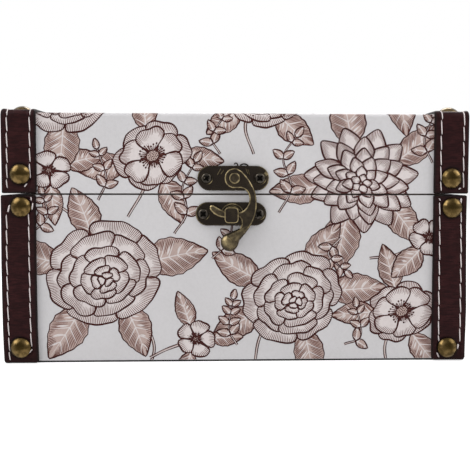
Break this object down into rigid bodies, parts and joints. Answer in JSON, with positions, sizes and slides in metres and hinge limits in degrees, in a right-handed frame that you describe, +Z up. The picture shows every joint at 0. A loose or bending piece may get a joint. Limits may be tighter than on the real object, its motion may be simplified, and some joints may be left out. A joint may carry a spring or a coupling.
{
  "type": "tissue box cover",
  "caption": "Chest-shaped tissue box cover: hinged lid with an oval dispensing slot, swing-hook latch, leather straps and domed studs.",
  "frame": {"origin": "middle of the underside", "axes": "+Z up, +X along the box's length towards its right end, -Y out of the front, where the latch is"},
  "size_m": [0.2216, 0.132, 0.124],
  "materials": {
    "printed_leather": "off-white faux leather with a fine grain and a printed line drawing of plants",
    "strap_leather": "dark burgundy faux leather, satin, with off-white stitching",
    "board_wood": "bare fibreboard",
    "lining_cloth": "matte woven lining",
    "underside_paper": "black backing sheet",
    "stud_brass": "antique brass, domed, slightly hammered",
    "latch_bronze": "antique bronze plating, bright where worn at the edges",
    "hinge_brass": "antique brass plating"
  },
  "bodies": {
    "base": {"base_back_board": "board_wood", "base_cover": "printed_leather", "base_floor_board": "board_wood", "base_front_board": "board_wood", "base_hinge_leaf_left": "hinge_brass", "base_hinge_leaf_right": "hinge_brass", "base_hinge_screw_left_inner": "hinge_brass", "base_hinge_screw_left_outer": "hinge_brass", "base_hinge_screw_right_inner": "hinge_brass", "base_hinge_screw_right_outer": "hinge_brass", "base_latch_screw_left": "latch_bronze", "base_latch_screw_right": "latch_bronze", "base_left_board": "board_wood", "base_lining": "lining_cloth", "base_right_board": "board_wood", "base_strap_back_left": "strap_leather", "base_strap_back_right": "strap_leather", "base_strap_front_left": "strap_leather", "base_strap_front_right": "strap_leather", "base_stud_back_left_high": "stud_brass", "base_stud_back_left_low": "stud_brass", "base_stud_back_right_high": "stud_brass", "base_stud_back_right_low": "stud_brass", "base_stud_front_left_high": "stud_brass", "base_stud_front_left_low": "stud_brass", "base_stud_front_right_high": "stud_brass", "base_stud_front_right_low": "stud_brass", "catch_plate": "latch_bronze", "hinge_pin_left": "hinge_brass", "hinge_pin_right": "hinge_brass", "underside_sheet": "underside_paper"},
    "lid": {"lid_back_rail": "board_wood", "lid_cover": "printed_leather", "lid_front_rail": "board_wood", "lid_hinge_leaf_left": "hinge_brass", "lid_hinge_leaf_right": "hinge_brass", "lid_hinge_screw_left_inner": "hinge_brass", "lid_hinge_screw_left_outer": "hinge_brass", "lid_hinge_screw_right_inner": "hinge_brass", "lid_hinge_screw_right_outer": "hinge_brass", "lid_latch_screw_left": "latch_bronze", "lid_latch_screw_right": "latch_bronze", "lid_left_rail": "board_wood", "lid_lining": "lining_cloth", "lid_right_rail": "board_wood", "lid_strap_left": "strap_leather", "lid_strap_right": "strap_leather", "lid_stud_back_left": "stud_brass", "lid_stud_back_right": "stud_brass", "lid_stud_front_left": "stud_brass", "lid_stud_front_right": "stud_brass", "lid_stud_top_back_left": "stud_brass", "lid_stud_top_back_right": "stud_brass", "lid_stud_top_front_left": "stud_brass", "lid_stud_top_front_right": "stud_brass", "lid_top_board": "board_wood", "hook_plate": "latch_bronze", "hook_rivet": "latch_bronze"},
    "hook": {"latch_hook": "latch_bronze"}
  },
  "joints": [
    {"name": "lid_hinge", "type": "hinge", "parent": "base", "child": "lid", "pos_m": [0, 0.0626, 0.0808], "axis": [-1, 0, 0], "range_deg": [0, 120]},
    {"name": "hook_swing", "type": "hinge", "parent": "lid", "child": "hook", "pos_m": [-0.0011, -0.0633, 0.08845], "axis": [0, -1, 0], "range_deg": [0, 105]}
  ]
}
